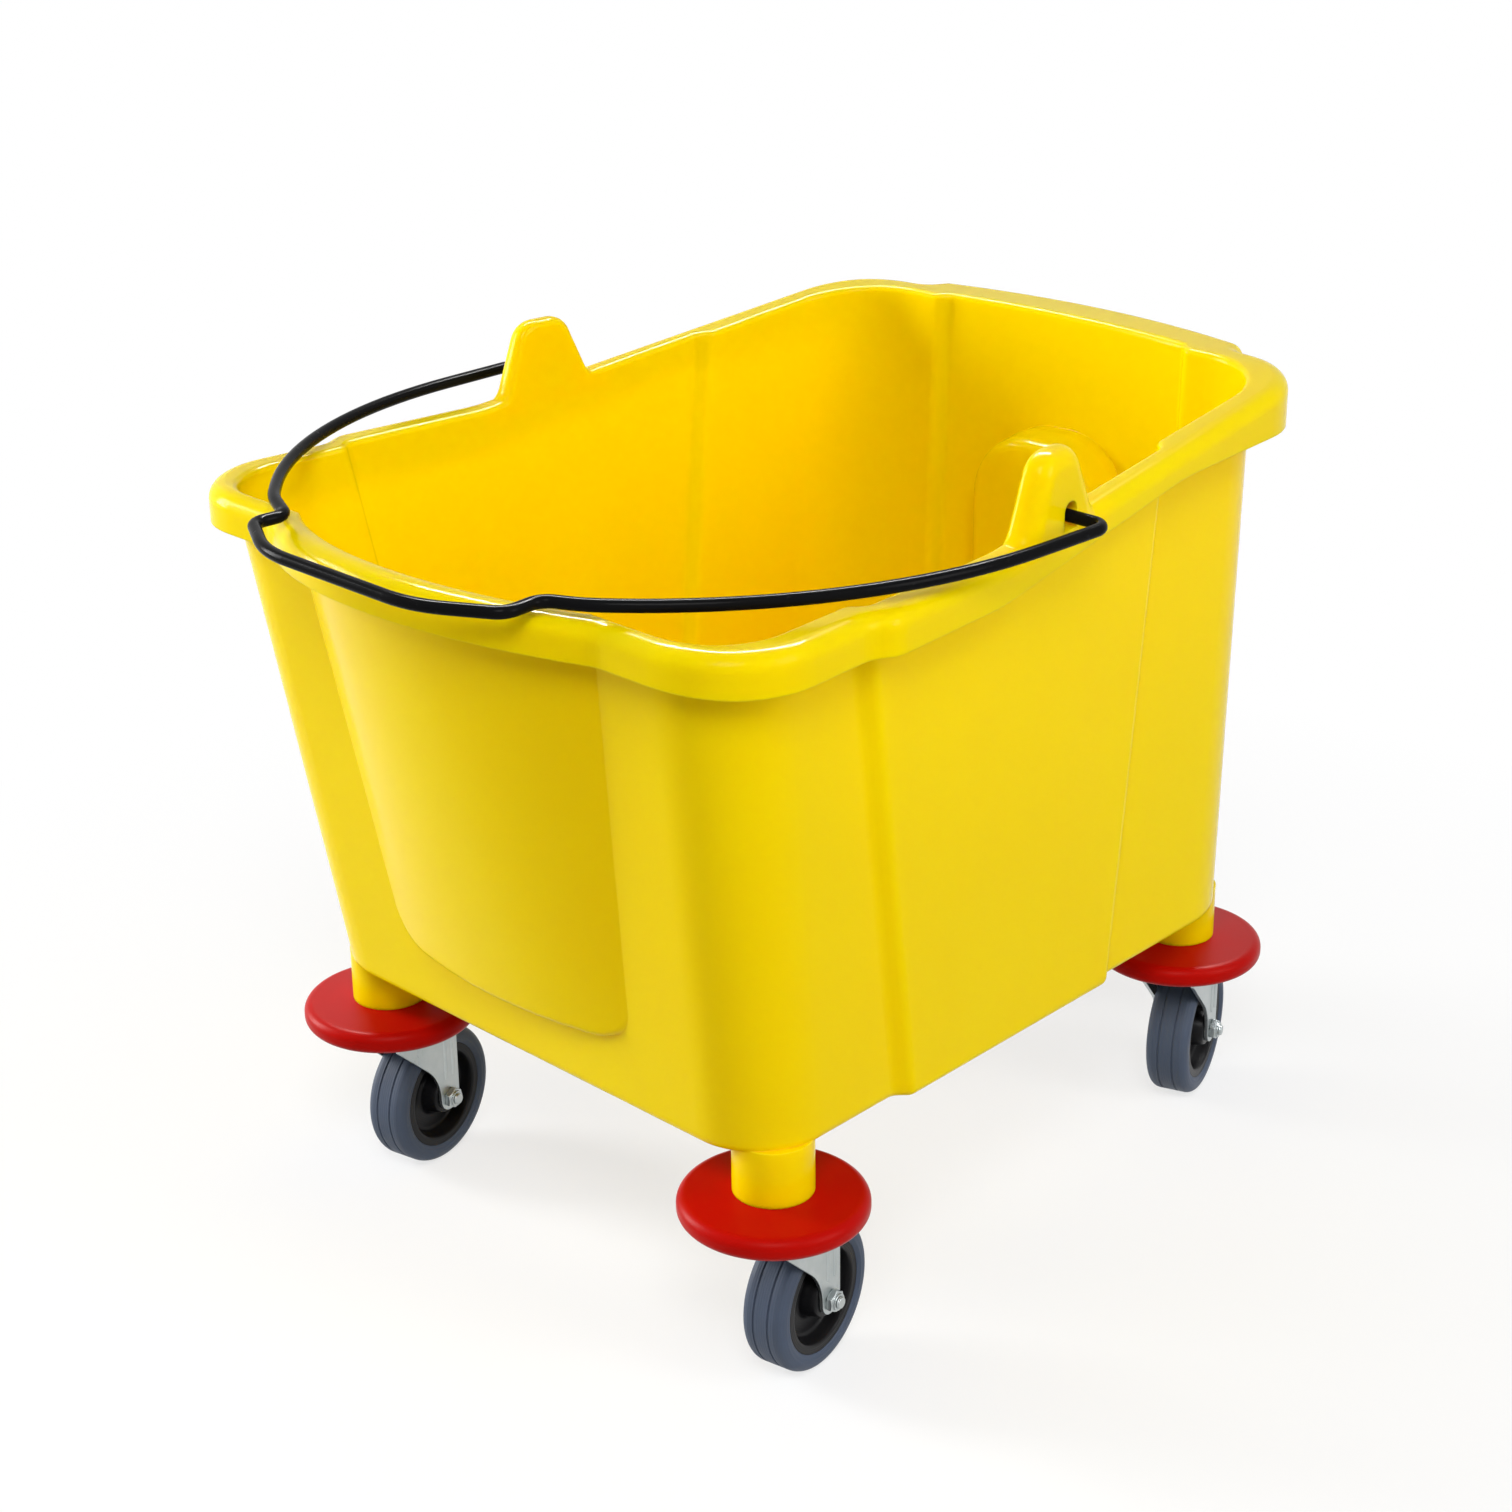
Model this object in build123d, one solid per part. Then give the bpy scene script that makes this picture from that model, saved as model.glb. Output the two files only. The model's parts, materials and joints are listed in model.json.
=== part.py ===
from build123d import *
import math
import os

# Mop bucket on four swivel casters with bumper discs and a wire bail, in millimetres.
# X is the width, the bowed front looks towards -Y, Z is up from the floor.
# Places along Y are measured from half way between the front and rear caster stems.

# Tub walls, outer faces, at the bottom edge and at the level of the rim's skirt
TUB_LOW_Z = 134.4
TUB_HIGH_Z = 371.0
UNDERSIDE_Z = 132.8
FRONT_LOW_Y = -197.0
FRONT_HIGH_Y = -233.0
REAR_LOW_Y = 184.0
REAR_HIGH_Y = 191.0
FRONT_HALF_LOW = 158.5
FRONT_HALF_HIGH = 175.0
REAR_HALF_LOW = 146.0
REAR_HALF_HIGH = 144.0
FRONT_CORNER_R = 38.0
REAR_CORNER_R = 50.0
WALL = 3.2
FLOOR = 4.0
BOTTOM_ROUND = 5.0

# Side panels that stand out between two slanted steps
PANEL_OUT = 6.3
PANEL_FRONT_LOW_Y = -106.0
PANEL_FRONT_HIGH_Y = -150.0
PANEL_REAR_LOW_Y = 50.0
PANEL_REAR_HIGH_Y = 72.0
STEP_ROUND = 6.0

# Back panel between two slanted steps, and its outward bow
BACK_PANEL_HALF = 78.0
BACK_PANEL_OUT = 6.0
BACK_BOW = 6.0

# Bowed front panel that ends in a ledge above the bottom edge
BOW_HALF_LOW = 81.0
BOW_HALF_HIGH = 100.0
BOW_OUT_LOW = 12.0
BOW_OUT_HIGH = 27.0
BOW_LEDGE_Z = 170.0
BOW_LEDGE_CORNER_R = 28.0
BOW_LEDGE_ROUND = 4.0

# Rim in plan, by how far it stands out past the tub walls, and its skirt and flange
RIM_FRONT_OUT = 9.9
RIM_REAR_OUT = 11.0
RIM_FRONT_SIDE_OUT = 17.7
RIM_REAR_SIDE_OUT = 11.5
RIM_PANEL_SETBACK = 1.8
RIM_FRONT_CORNER_R = 46.0
RIM_REAR_CORNER_R = 50.0
RIM_BOW_HALF = 110.6
RIM_BOW_OUT = 31.8
RIM_BOW_END_R = 14.0
RIM_STEP_RUN = 12.0
RIM_STEP_ROUND = 16.0
PLATFORM_HALF = 100.0
PLATFORM_SLANT = 6.0
PLATFORM_RISE_Y = 5.0
PLATFORM_OUT = 11.5
PLATFORM_BOW = 12.0
PLATFORM_ROUND = 8.5
SKIRT = 3.5
FLANGE = 4.0
RIM_OUTER_ROUND = 8.0
RIM_INNER_ROUND = 3.0

# Height of the rim's top and of the skirt's lower edge along the tub
RIM_RISE = 20.5
RIM_REAR_RISE = 27.5
RAMP_FRONT_Y = -62.0
RAMP_REAR_Y = 190.0
RAMP_ROUND = 150.0
BOW_RISE_START_Y = -232.0
BOW_RISE = 0.17
SKIRT_FRONT_DROP = 19.5
SKIRT_REAR_DROP = 26.0
SKIRT_RAMP_FRONT_Y = -70.0
SKIRT_RAMP_REAR_Y = 80.0

# Pivot ears on the long sides
EAR_FRONT_Y = -50.5
EAR_REAR_Y = 4.5
EAR_TOP_FRONT_Y = -36.5
EAR_TOP_REAR_Y = -10.0
EAR_RISE = 39.5
EAR_TOP_ROUND = 13.0
EAR_FRONT_FOOT_R = 10.0
EAR_REAR_FOOT_R = 6.0
EAR_FOOT_REACH = 14.0
EAR_FOOT_SINK = 0.3
EAR_ROOT = 11.0
EAR_OUTER_ROUND = 9.0
EAR_INNER_ROUND = 4.0
EAR_SETBACK = 0.5
MOUTH_HALF = 3.7
MOUTH_ROUND = 3.5
MOUTH_DRAFT = 12.0
MOUTH_DEPTH = 6.0
MOUTH_DROP = 5.0
SLOT_DEPTH = 4.0
SLOT_RISE = 2.5

# Alcove in the back wall
ALCOVE_HALF = 42.0
ALCOVE_TOP_DROP = 17.0
ALCOVE_ROUND = 36.0
ALCOVE_FACE_Y = 176.0
ALCOVE_TAPER = 8.0
ALCOVE_EDGE_ROUND = 3.0

# Bail wire
WIRE_R = 3.0
PIVOT_Y = -17.0
PIVOT_CLEAR = 0.1
WIRE_END_GAP = 0.5
BAIL_REST_GAP = 3.0
BAIL_ARM_X = 198.4
BAIL_ARM_BEND_R = 8.0
BAIL_SIDE_X = 195.0
BAIL_SIDE_Y = -166.0
BAIL_SIDE_R = 230.0
BAIL_NECK_X = 106.0
BAIL_NECK_Y = -242.0
BAIL_NECK_R = 60.0
BAIL_SHOULDER_X = 84.0
BAIL_SHOULDER_Y = -252.3
BAIL_JOG_X = 85.5
BAIL_JOG_Y = -271.0
BAIL_JOG_R = 9.0
BAIL_GRIP_X = 50.0
BAIL_GRIP_Y = -291.0
BAIL_GRIP_R = 60.0
BAIL_GRIP_SHIFT = 3.5

# Caster places, and how far each fork is turned at rest
FRONT_CASTER_X = 138.8
FRONT_CASTER_Y = -169.6
REAR_CASTER_X = 112.5
REAR_CASTER_Y = 168.9
FRONT_LEFT_TURN = 11.5
FRONT_RIGHT_TURN = 10.0
REAR_LEFT_TURN = 14.0
REAR_RIGHT_TURN = 19.5

# Posts, stem sockets and stems
POST_R = 19.2
SOCKET_R = 8.0
SOCKET_LENGTH = 25.0
STEM_R = 5.5
STEM_CLEAR = 0.05
STEM_TOP_GAP = 2.0

# Bumper discs
BUMPER_R = 44.8
BUMPER_TOP_Z = 106.4
BUMPER_THICK = 12.8
BUMPER_DROP = 2.0
BUMPER_TOP_ROUND = 5.2
BUMPER_LOW_ROUND = 4.2
BUMPER_HUB_R = 24.0
BUMPER_WALL = 5.0
BUMPER_BORE_CLEAR = 0.2

# Swivel bearing
RACE_R = 18.0
RACE_THICK = 4.5
RACE_GAP = 2.0
BALL_R = 2.5
BALL_CIRCLE_R = 13.0
BALL_COUNT = 8
BALL_CLEAR = 0.05
RIVET_R = 8.5
RIVET_THICK = 2.4
RIVET_GAP = 0.3

# Forks
TRAIL = 25.4
CROWN_R = 21.5
CROWN_THICK = 3.2
LEG_THICK = 2.0
LEG_INSIDE = 13.2
LEG_FRONT = 14.0
LEG_FRONT_DEPTH = 3.0
LEG_FRONT_ROUND = 1.5
LEG_ELBOW = 8.0
LEG_ELBOW_RISE = 14.0
LEG_ELBOW_R = 30.0
LEG_END_R = 7.0
LEG_END_ROUND = 6.5
FLUTE_R = 1.6
FLUTE_OUT = 0.7
FLUTE_PITCH = 6.0
FLUTE_RISE = 12.0

# Wheels
WHEEL_R = 37.5
TREAD_HALF = 11.8
SHOULDER_R = 5.0
GROOVE_DEPTH = 0.45
GROOVE_HALF = 0.5
GROOVE_X = 4.0
BEAD_RISE = 2.0
HUB_R = 28.5
HUB_RIM_HALF = 10.6
HUB_RIM_THICK = 4.3
HUB_WEB_HALF = 3.0
HUB_BOSS_R = 9.5
HUB_ROUND = 2.5
HUB_SIDE_GAP = 0.5
SLEEVE_R = 6.0
HUB_RUN_CLEAR = 0.05
AXLE_R = 3.0
AXLE_CLEAR = 0.1
BOLT_FLATS = 10.0
BOLT_HEAD = 4.0
NUT_HEIGHT = 4.4
BOLT_END = 1.4

# Room that cutting and trimming blocks run past the part
BEYOND = 60.0

# Share of a face's direction along Z under which it counts as upright
STEEP = 0.3


def bow_reach(half, out, end_reach):
    """How far the wide arc of a bowed edge stands out past the edge's two ends."""
    rise = 2 * out
    slant = math.hypot(half, rise)
    return rise - (slant - end_reach) * (slant - half) / rise


RIM_FRONT_Y = FRONT_HIGH_Y - RIM_FRONT_OUT
RIM_REAR_Y = REAR_HIGH_Y + RIM_REAR_OUT
RIM_FRONT_HALF = FRONT_HALF_HIGH + RIM_FRONT_SIDE_OUT
RIM_REAR_HALF = REAR_HALF_HIGH + RIM_REAR_SIDE_OUT
RIM_PANEL_HALF = RIM_FRONT_HALF - RIM_PANEL_SETBACK
RIM_FRONT_Z = TUB_HIGH_Z + RIM_RISE
RIM_REAR_Z = RIM_FRONT_Z + RIM_REAR_RISE
SKIRT_FRONT_Z = RIM_FRONT_Z - SKIRT_FRONT_DROP
SKIRT_REAR_Z = RIM_REAR_Z - SKIRT_REAR_DROP
EAR_TOP_Z = RIM_FRONT_Z + EAR_RISE
ALCOVE_TOP_Z = TUB_HIGH_Z - ALCOVE_TOP_DROP
BUMPER_LOW_Z = BUMPER_TOP_Z - BUMPER_THICK
RACE_LOW_Z = BUMPER_LOW_Z - RACE_THICK
CROWN_TOP_Z = RACE_LOW_Z - RACE_GAP
CROWN_LOW_Z = CROWN_TOP_Z - CROWN_THICK
BALL_Z = RACE_LOW_Z - RACE_GAP / 2
LEG_OUTSIDE = LEG_INSIDE + LEG_THICK
LEG_REAR = TRAIL + LEG_END_R
RAMP_SLOPE = (RIM_REAR_Z - RIM_FRONT_Z) / (RAMP_REAR_Y - RAMP_FRONT_Y)
RIM_CROSS_Y = BAIL_SHOULDER_Y + RIM_OUTER_ROUND
BAIL_Z = RIM_FRONT_Z + BOW_RISE * (BOW_RISE_START_Y - RIM_CROSS_Y) + WIRE_R + BAIL_REST_GAP
FRONT_REACH = -BAIL_GRIP_Y + WIRE_R
PLATFORM_Y = RIM_REAR_Y + PLATFORM_RISE_Y + PLATFORM_OUT
REAR_REACH = PLATFORM_Y + bow_reach(PLATFORM_HALF, PLATFORM_BOW, PLATFORM_ROUND)
ORIGIN_Y = (REAR_REACH - FRONT_REACH) / 2
EAR_SHARE = (PIVOT_Y - PANEL_FRONT_HIGH_Y) / (RIM_REAR_Y - PANEL_FRONT_HIGH_Y)
RIM_EAR_HALF = RIM_PANEL_HALF + (RIM_REAR_HALF - RIM_PANEL_HALF) * EAR_SHARE
EAR_OUTER_X = RIM_EAR_HALF - EAR_SETBACK
MOUTH_X = EAR_OUTER_X - MOUTH_DEPTH
MOUTH_LOW_Z = BAIL_Z - MOUTH_DROP
MOUTH_TOP_Z = BAIL_Z + SLOT_RISE + WIRE_R
SLOT_X = MOUTH_X - SLOT_DEPTH
STAND = (Align.CENTER, Align.CENTER, Align.MIN)

CASTERS = {
    "front_left": (-FRONT_CASTER_X, FRONT_CASTER_Y, FRONT_LEFT_TURN),
    "front_right": (FRONT_CASTER_X, FRONT_CASTER_Y, FRONT_RIGHT_TURN),
    "rear_left": (-REAR_CASTER_X, REAR_CASTER_Y, REAR_LEFT_TURN),
    "rear_right": (REAR_CASTER_X, REAR_CASTER_Y, REAR_RIGHT_TURN),
}


def corner_arc(before, corner, after):
    """Start, middle and end of the tangent arc that rounds one (x, y, radius) corner."""
    point = Vector(corner[0], corner[1])
    to_before = (Vector(before[0], before[1]) - point).normalized()
    to_after = (Vector(after[0], after[1]) - point).normalized()
    half_angle = math.radians(to_before.get_angle(to_after)) / 2
    reach = corner[2] / math.tan(half_angle)
    bisector = (to_before + to_after).normalized()
    middle = point + bisector * (corner[2] / math.sin(half_angle) - corner[2])
    return point + to_before * reach, middle, point + to_after * reach


def rounded_face(corners):
    """Flat face of straight runs, each (x, y, radius) corner rounded unless its radius is 0."""
    count = len(corners)
    arcs = []
    for i, corner in enumerate(corners):
        if corner[2] > 0:
            arcs.append(corner_arc(corners[i - 1], corner, corners[(i + 1) % count]))
        else:
            arcs.append((Vector(corner[0], corner[1]), None, Vector(corner[0], corner[1])))
    edges = []
    for i, (start, middle, end) in enumerate(arcs):
        if middle is not None:
            edges.append(ThreePointArc(start, middle, end))
        edges.append(Line(end, arcs[(i + 1) % count][0]))
    return Face(Wire(edges))


def mirror_corners(right):
    """Left-hand corners that mirror the right-hand ones, in the order that closes the loop."""
    return [(-x, y, r) for x, y, r in reversed(right)]


def bow_apex(half, y_end, out, end_reach):
    """Corner on the centre line whose wide arc bows out from (half, y_end) by about out."""
    rise = 2 * out
    run = math.hypot(half, rise) - end_reach
    return (0.0, y_end + rise, abs(run * half / rise))


def at_height(z, low, high):
    """Size of a wall at height z, from its sizes at the two reference heights."""
    return low + (high - low) * (z - TUB_LOW_Z) / (TUB_HIGH_Z - TUB_LOW_Z)


def tub_section(z, inset):
    """Section of the tub walls at height z, without the front bow, moved in by inset."""
    front = at_height(z, FRONT_LOW_Y, FRONT_HIGH_Y) + inset
    rear = at_height(z, REAR_LOW_Y, REAR_HIGH_Y) - inset
    half_front = at_height(z, FRONT_HALF_LOW, FRONT_HALF_HIGH) - inset
    half_rear = at_height(z, REAR_HALF_LOW, REAR_HALF_HIGH) - inset
    panel_front = at_height(z, PANEL_FRONT_LOW_Y, PANEL_FRONT_HIGH_Y)
    panel_rear = at_height(z, PANEL_REAR_LOW_Y, PANEL_REAR_HIGH_Y)

    def side(y):
        return half_front + (half_rear - half_front) * (y - front) / (rear - front)

    right = [
        (half_front, front, FRONT_CORNER_R - inset),
        (side(panel_front), panel_front, STEP_ROUND),
        (side(panel_front) + PANEL_OUT, panel_front + PANEL_OUT, STEP_ROUND),
        (side(panel_rear) + PANEL_OUT, panel_rear, STEP_ROUND),
        (side(panel_rear), panel_rear + PANEL_OUT, STEP_ROUND),
        (half_rear, rear, REAR_CORNER_R - inset),
        (BACK_PANEL_HALF + BACK_PANEL_OUT, rear, STEP_ROUND),
        (BACK_PANEL_HALF, rear + BACK_PANEL_OUT, STEP_ROUND),
    ]
    apex = bow_apex(BACK_PANEL_HALF, rear + BACK_PANEL_OUT, BACK_BOW, STEP_ROUND)
    return Pos(0, 0, z) * rounded_face(right + [apex] + mirror_corners(right))


def bow_section(z, inset):
    """Section of the bowed front panel at height z: an arc in front, closed inside the tub."""
    wall = at_height(z, FRONT_LOW_Y, FRONT_HIGH_Y) + inset
    share = (z - BOW_LEDGE_Z) / (TUB_HIGH_Z - BOW_LEDGE_Z)
    half = BOW_HALF_LOW + (BOW_HALF_HIGH - BOW_HALF_LOW) * share - inset
    out = BOW_OUT_LOW + (BOW_OUT_HIGH - BOW_OUT_LOW) * share
    left = Vector(-half, wall)
    right = Vector(half, wall)
    edges = [
        ThreePointArc(left, Vector(0, wall - out), right),
        Line(right, right + Vector(0, WALL)),
        Line(right + Vector(0, WALL), left + Vector(0, WALL)),
        Line(left + Vector(0, WALL), left),
    ]
    return Pos(0, 0, z) * Face(Wire(edges))


def facing(face):
    """Outward direction at the middle of a face."""
    return face.normal_at(face.center())


def is_upright(face):
    return abs(facing(face).Z) < STEEP


def looks_up(face):
    return facing(face).Z > STEEP / 2


def looks_inward(face):
    middle = face.center()
    return is_upright(face) and facing(face).dot(Vector(middle.X, middle.Y)) < 0


def shared_edges(some_faces, other_faces):
    """Edges where a face of one group meets a face of the other group."""
    others = [edge for face in other_faces for edge in face.edges()]
    edges = [edge for face in some_faces for edge in face.edges()]
    return ShapeList(edge for edge in edges if any(edge.is_same(other) for other in others))


def bow_block(inset, top_z):
    """Solid of the bowed front panel above its ledge, with the ledge's two ends rounded up."""
    low_z = BOW_LEDGE_Z + inset
    panel = loft([bow_section(low_z, inset), bow_section(top_z, inset)], ruled=True)
    corner_r = BOW_LEDGE_CORNER_R - inset
    half = BOW_HALF_LOW - inset
    top_half = RIM_FRONT_HALF
    ledge = [(half, low_z, corner_r), (top_half, low_z + 4 * (top_half - half), 0), (top_half, top_z, 0)]
    front_view = Plane.XZ.offset(-FRONT_LOW_Y) * rounded_face(ledge + mirror_corners(ledge))
    return panel & extrude(front_view, amount=FRONT_LOW_Y - RIM_FRONT_Y + BEYOND, both=True)


def rim_face(inset):
    """Plan of the rim with its front bow, side panels and rear platform, moved in by inset."""
    front = RIM_FRONT_Y + inset
    rear = RIM_REAR_Y - inset
    half_front = RIM_FRONT_HALF - inset
    half_rear = RIM_REAR_HALF - inset
    panel_half = RIM_PANEL_HALF - inset
    platform_half = PLATFORM_HALF - inset
    bow_half = RIM_BOW_HALF - inset / 2
    right = [
        (bow_half, front, RIM_BOW_END_R + inset),
        (half_front, front, RIM_FRONT_CORNER_R - inset),
        (panel_half - PANEL_OUT, PANEL_FRONT_HIGH_Y - RIM_STEP_RUN / 2, RIM_STEP_ROUND),
        (panel_half, PANEL_FRONT_HIGH_Y + RIM_STEP_RUN / 2, RIM_STEP_ROUND),
        (half_rear, rear, RIM_REAR_CORNER_R - inset),
        (platform_half + PLATFORM_SLANT, rear + PLATFORM_RISE_Y, PLATFORM_ROUND),
        (platform_half, PLATFORM_Y - inset, PLATFORM_ROUND),
    ]
    rear_apex = bow_apex(platform_half, PLATFORM_Y - inset, PLATFORM_BOW, PLATFORM_ROUND)
    front_apex = bow_apex(bow_half, front, -RIM_BOW_OUT, RIM_BOW_END_R)
    return rounded_face([front_apex] + right + [rear_apex] + mirror_corners(right))


def below_line(line):
    """Block across the whole width, from the floor up to a (y, z, radius) height line."""
    corners = [(line[0][0], 0, 0)] + line + [(line[-1][0], 0, 0)]
    side_view = Plane.YZ * rounded_face(list(reversed(corners)))
    return extrude(side_view, amount=RIM_FRONT_HALF + BEYOND, both=True)


def rim_top_line(drop):
    """Height line of the rim's top along the tub, lowered by drop."""
    front_end = RIM_FRONT_Y - RIM_BOW_OUT - BEYOND
    return [
        (front_end, RIM_FRONT_Z + BOW_RISE * (BOW_RISE_START_Y - front_end) - drop, 0),
        (BOW_RISE_START_Y, RIM_FRONT_Z - drop, RAMP_ROUND),
        (RAMP_FRONT_Y, RIM_FRONT_Z - drop, RAMP_ROUND),
        (RAMP_REAR_Y, RIM_REAR_Z - drop, RAMP_ROUND),
        (REAR_REACH + BEYOND, RIM_REAR_Z - drop, 0),
    ]


def skirt_line():
    """Height line of the skirt's lower edge along the tub."""
    front_end = RIM_FRONT_Y - RIM_BOW_OUT - BEYOND
    return [
        (front_end, SKIRT_FRONT_Z + BOW_RISE * (BOW_RISE_START_Y - front_end), 0),
        (BOW_RISE_START_Y, SKIRT_FRONT_Z, RAMP_ROUND),
        (SKIRT_RAMP_FRONT_Y, SKIRT_FRONT_Z, RAMP_ROUND),
        (SKIRT_RAMP_REAR_Y, SKIRT_REAR_Z, RAMP_ROUND),
        (REAR_REACH + BEYOND, SKIRT_REAR_Z, 0),
    ]


def rim():
    """Rolled rim: a flange that ramps up to the rear, with a skirt hanging from its edge."""
    tall = extrude(rim_face(0), amount=EAR_TOP_Z)
    block = tall & below_line(rim_top_line(0))
    block -= Box(4 * RIM_FRONT_HALF, 4 * RIM_FRONT_HALF, 2 * TUB_HIGH_Z)
    top_edges = shared_edges(block.faces().filter_by(looks_up), block.faces().filter_by(is_upright))
    block = fillet(top_edges, RIM_OUTER_ROUND)
    block -= below_line(skirt_line())
    hollow = extrude(rim_face(SKIRT), amount=EAR_TOP_Z) & below_line(rim_top_line(FLANGE))
    return block - hollow


def upper_edges(face):
    """Edges of an ear's face along its upper outline, from foot to foot."""
    reach = EAR_FOOT_REACH - EAR_FOOT_SINK
    edges = face.edges().filter_by_position(Axis.Y, EAR_FRONT_Y - reach, EAR_REAR_Y + reach)
    return edges.filter_by_position(Axis.Z, RIM_FRONT_Z - 2 * EAR_FOOT_SINK, EAR_TOP_Z)


def ear(inside):
    """Right-hand pivot ear: a rounded upstand with flared feet, flush inside with the tub wall."""
    front_z = RIM_FRONT_Z - EAR_FOOT_SINK
    rear_z = RIM_FRONT_Z + RAMP_SLOPE * (EAR_REAR_Y - RAMP_FRONT_Y) - EAR_FOOT_SINK
    end_z = rear_z + RAMP_SLOPE * EAR_FOOT_REACH
    corners = [
        (EAR_FRONT_Y - EAR_FOOT_REACH, front_z - EAR_ROOT, 0),
        (EAR_REAR_Y + EAR_FOOT_REACH, end_z - EAR_ROOT, 0),
        (EAR_REAR_Y + EAR_FOOT_REACH, end_z, 0),
        (EAR_REAR_Y, rear_z, EAR_REAR_FOOT_R),
        (EAR_TOP_REAR_Y, EAR_TOP_Z, EAR_TOP_ROUND),
        (EAR_TOP_FRONT_Y, EAR_TOP_Z, EAR_TOP_ROUND),
        (EAR_FRONT_Y, front_z, EAR_FRONT_FOOT_R),
        (EAR_FRONT_Y - EAR_FOOT_REACH, front_z, 0),
    ]
    plate = extrude(Plane.YZ.offset(REAR_HALF_HIGH) * rounded_face(corners), amount=BEYOND)
    plate = (plate & extrude(rim_face(EAR_SETBACK), amount=2 * EAR_TOP_Z)) - inside
    plate = fillet(upper_edges(plate.faces().sort_by(Axis.X)[-1]), EAR_OUTER_ROUND)
    return fillet(upper_edges(plate.faces().sort_by(Axis.X)[0]), EAR_INNER_ROUND)


def ear_hole():
    """Arched hole in an ear's outer face, flared at its mouth, with the slot that the wire end turns in."""
    corners = [
        (PIVOT_Y - MOUTH_HALF, MOUTH_LOW_Z, 0),
        (PIVOT_Y + MOUTH_HALF, MOUTH_LOW_Z, 0),
        (PIVOT_Y + MOUTH_HALF, MOUTH_TOP_Z, MOUTH_ROUND),
        (PIVOT_Y - MOUTH_HALF, MOUTH_TOP_Z, MOUTH_ROUND),
    ]
    arch = Plane.YZ.offset(MOUTH_X) * rounded_face(corners)
    mouth = extrude(arch, amount=2 * MOUTH_DEPTH, taper=-MOUTH_DRAFT)
    slot_face = SlotCenterToCenter(SLOT_RISE, 2 * (WIRE_R + PIVOT_CLEAR), rotation=90)
    slot_face = Pos(PIVOT_Y, BAIL_Z + SLOT_RISE / 2) * slot_face
    return mouth + extrude(Plane.YZ.offset(SLOT_X) * slot_face, amount=SLOT_DEPTH + MOUTH_DEPTH)


def alcove(grow):
    """Recess in the back wall with an arched top, grown by the wall for its inner face."""
    half = ALCOVE_HALF + grow
    corners = [
        (-half, UNDERSIDE_Z - BEYOND, 0),
        (half, UNDERSIDE_Z - BEYOND, 0),
        (half, ALCOVE_TOP_Z + grow, ALCOVE_ROUND + grow),
        (-half, ALCOVE_TOP_Z + grow, ALCOVE_ROUND + grow),
    ]
    front_view = Plane.XZ.offset(-REAR_HIGH_Y) * rounded_face(corners)
    inward = extrude(front_view, amount=REAR_HIGH_Y - ALCOVE_FACE_Y + grow, taper=ALCOVE_TAPER)
    inward = fillet(inward.faces().sort_by(Axis.Y)[0].edges(), ALCOVE_EDGE_ROUND + grow)
    return inward + extrude(front_view, amount=-BEYOND)


def bucket_body():
    """The tub moulding: walls, floor, rim, ears, alcove and hollow caster posts."""
    top_z = EAR_TOP_Z + BEYOND
    outside = loft([tub_section(UNDERSIDE_Z, 0), tub_section(top_z, 0)], ruled=True)
    outside = fillet(outside.faces().sort_by(Axis.Z)[0].edges(), BOTTOM_ROUND)
    bow = bow_block(0, top_z)
    bow_fronts = bow.faces().filter_by(lambda f: facing(f).Y < -STEEP)
    ledge = bow.faces().filter_by(lambda f: facing(f).Z < -STEEP)
    outside = (outside + fillet(shared_edges(bow_fronts, ledge), BOW_LEDGE_ROUND)) - alcove(0)
    inside = loft([tub_section(UNDERSIDE_Z + FLOOR, WALL), tub_section(top_z, WALL)], ruled=True)
    inside = (inside + bow_block(WALL, top_z)) - alcove(WALL)
    body = (outside & below_line(rim_top_line(0))) + rim()
    post = Cylinder(POST_R, UNDERSIDE_Z + FLOOR / 2 - BUMPER_TOP_Z, align=STAND)
    bore = Cylinder(SOCKET_R, SOCKET_LENGTH, align=STAND)
    for x, y, turn in CASTERS.values():
        body += Pos(x, y, BUMPER_TOP_Z) * post
    body -= inside
    mouth = shared_edges(body.faces().filter_by(looks_inward), body.faces().filter_by(looks_up))
    body = fillet(mouth.filter_by(lambda e: e.center().Z > TUB_HIGH_Z), RIM_INNER_ROUND)
    for x, y, turn in CASTERS.values():
        body -= Pos(x, y, BUMPER_TOP_Z) * bore
    hole = ear_hole()
    right_ear = ear(inside) - hole
    body = body - hole - mirror(hole, about=Plane.YZ)
    return body + right_ear + mirror(right_ear, about=Plane.YZ)


def half_bail(side):
    """Corners of the wire on the right (1) or left (-1), from its end in the ear to the grip."""
    shift = side * BAIL_GRIP_SHIFT
    lean = (BAIL_NECK_Y - BAIL_SHOULDER_Y) / (BAIL_NECK_X - BAIL_SHOULDER_X)
    corners = [
        (SLOT_X + WIRE_END_GAP, PIVOT_Y),
        (BAIL_ARM_X, PIVOT_Y),
        (BAIL_SIDE_X, BAIL_SIDE_Y),
        (BAIL_NECK_X, BAIL_NECK_Y),
        (BAIL_SHOULDER_X + shift, BAIL_SHOULDER_Y + lean * shift),
        (BAIL_JOG_X + shift, BAIL_JOG_Y),
        (BAIL_GRIP_X + shift, BAIL_GRIP_Y),
    ]
    return [(side * x, y, BAIL_Z) for x, y in corners]


def bail_handle():
    """One wire bent through both ears: arms, shoulders over the rim and a grip that stands forward."""
    bends = [BAIL_ARM_BEND_R, BAIL_SIDE_R, BAIL_NECK_R, BAIL_JOG_R, BAIL_JOG_R, BAIL_GRIP_R]
    path = FilletPolyline(*half_bail(1), *reversed(half_bail(-1)), radius=bends + bends[::-1])
    section = Plane(origin=path @ 0, z_dir=path % 0) * Circle(WIRE_R)
    return sweep(section, path=path)


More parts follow.
